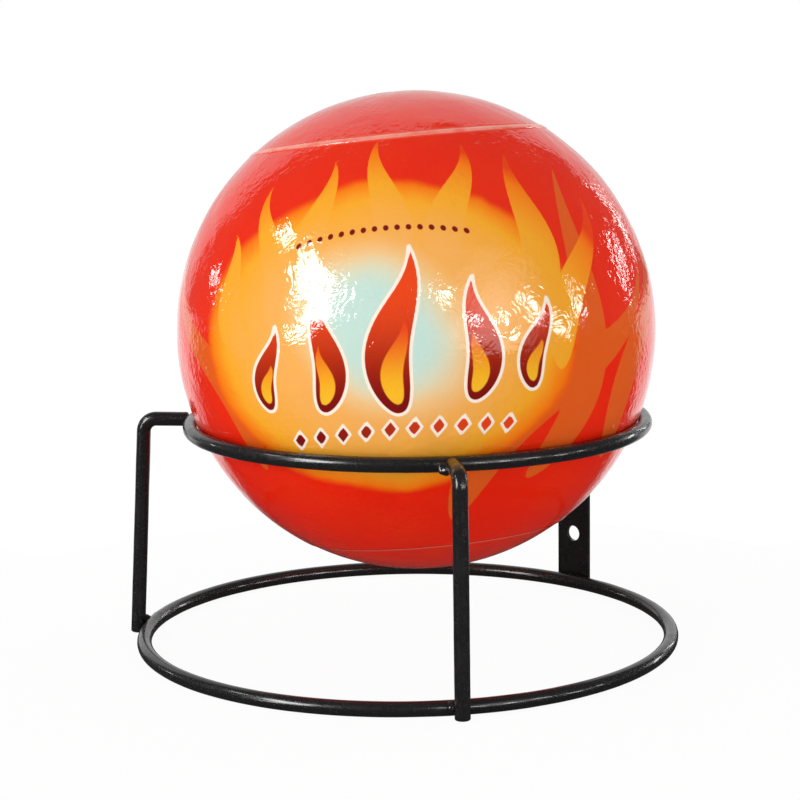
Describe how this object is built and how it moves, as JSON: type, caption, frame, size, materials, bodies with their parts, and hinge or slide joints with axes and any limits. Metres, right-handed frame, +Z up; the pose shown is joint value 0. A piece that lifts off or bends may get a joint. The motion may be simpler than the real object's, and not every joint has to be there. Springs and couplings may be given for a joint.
{
  "type": "fire extinguisher ball",
  "caption": "Round throwable fire extinguisher that rests in a wire stand with a wall plate for screws.",
  "frame": {"origin": "on the floor, in the middle of the base ring", "axes": "+Z up; +Y out of the wall plate's outer face, towards the wall; -Y is the front"},
  "size_m": [0.1728, 0.1741, 0.1744],
  "materials": {
    "foam": "moulded foam beads",
    "tape": "packing tape",
    "powder": "dry powder",
    "card": "wound card",
    "plug": "moulded",
    "charge": "packed powder",
    "fuse": "waxed cord",
    "printed_film": "glossy shrink film, red with an orange and cream glow",
    "clear_film": "glossy red shrink film",
    "black_paint": "gloss black paint"
  },
  "bodies": {
    "root": {"shell_upper": "foam", "shell_lower": "foam", "seam_tape": "tape", "powder_fill": "powder", "charge_tube": "card", "charge_plug_upper": "plug", "charge_plug_lower": "plug", "charge_powder": "charge", "core_fuse": "fuse", "surface_fuse_front": "fuse", "surface_fuse_right": "fuse", "surface_fuse_back": "fuse", "surface_fuse_left": "fuse", "printed_sleeve": "printed_film", "top_cap_film": "clear_film", "bottom_cap_film": "clear_film", "base_ring": "black_paint", "seat_ring": "black_paint", "left_leg": "black_paint", "right_leg": "black_paint", "wall_plate": "black_paint", "left_leg_top_weld": "black_paint", "left_leg_foot_weld": "black_paint", "right_leg_top_weld": "black_paint", "right_leg_foot_weld": "black_paint"}
  },
  "joints": []
}
